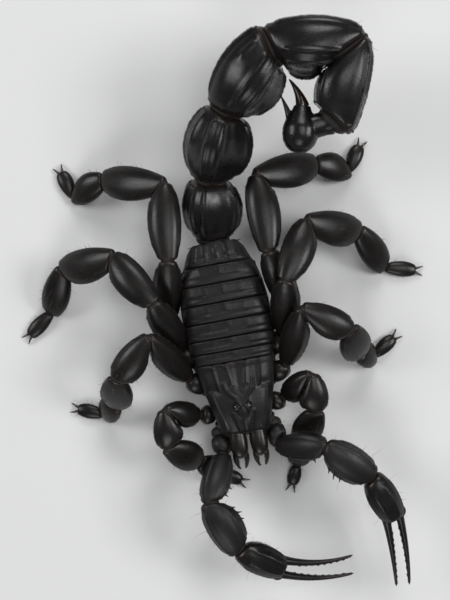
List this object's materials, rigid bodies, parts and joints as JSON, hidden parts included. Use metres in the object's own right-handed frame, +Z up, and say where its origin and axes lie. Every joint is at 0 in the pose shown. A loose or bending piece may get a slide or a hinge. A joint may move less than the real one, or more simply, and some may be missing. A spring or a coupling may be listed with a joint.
{
  "type": "scorpion",
  "caption": "Black thick-tailed scorpion at life size, standing with its tail carried round to one side and its pincers reaching forward",
  "frame": {"origin": "on the floor, under the middle of the animal's bounding box", "axes": "+Z up; the head points towards -Y, turned about ten degrees towards +X; +X is the animal's left, the side to which the tail curls; the feet stand on z = 0"},
  "size_m": [0.0717, 0.0955, 0.0261],
  "materials": {
    "shell": "black cuticle: glossy between fine granules, duller where they crowd",
    "leg": "black-brown glossy cuticle with sparse granules",
    "membrane": "dark leathery skin, finely wrinkled, low sheen",
    "comb": "thin brown cuticle, satin",
    "eye": "black lens, wet gloss",
    "sting": "dark horn, polished towards the tip",
    "claw": "dark brown horn, satin",
    "hair": "stiff dark brown bristles"
  },
  "bodies": {
    "root": {"eye_left": "eye", "eye_right": "eye", "carapace": "shell", "tergite_1": "shell", "tergite_2": "shell", "tergite_3": "shell", "tergite_4": "shell", "tergite_5": "shell", "tergite_6": "shell", "tergite_7": "shell", "prosoma_underside": "shell", "belly": "membrane", "comb_left": "comb", "comb_right": "comb", "chelicera_left": "shell", "chelicera_right": "shell", "tail_segment_1": "shell", "tail_segment_2": "shell", "tail_segment_3": "shell", "tail_segment_4": "shell", "tail_segment_5": "shell", "vesicle": "shell", "sting": "sting", "arm_trochanter_left": "shell", "arm_femur_left": "shell", "arm_patella_left": "shell", "hand_left": "shell", "finger_left": "shell", "arm_trochanter_right": "shell", "arm_femur_right": "shell", "arm_patella_right": "shell", "hand_right": "shell", "finger_right": "shell", "leg_1_thigh_left": "leg", "leg_1_knee_left": "leg", "leg_1_foot_left": "leg", "leg_2_thigh_left": "leg", "leg_2_knee_left": "leg", "leg_2_foot_left": "leg", "leg_3_thigh_left": "leg", "leg_3_knee_left": "leg", "leg_3_foot_left": "leg", "leg_4_thigh_left": "leg", "leg_4_knee_left": "leg", "leg_4_foot_left": "leg", "leg_1_thigh_right": "leg", "leg_1_knee_right": "leg", "leg_1_foot_right": "leg", "leg_2_thigh_right": "leg", "leg_2_knee_right": "leg", "leg_2_foot_right": "leg", "leg_3_thigh_right": "leg", "leg_3_knee_right": "leg", "leg_3_foot_right": "leg", "leg_4_thigh_right": "leg", "leg_4_knee_right": "leg", "leg_4_foot_right": "leg"}
  },
  "joints": []
}
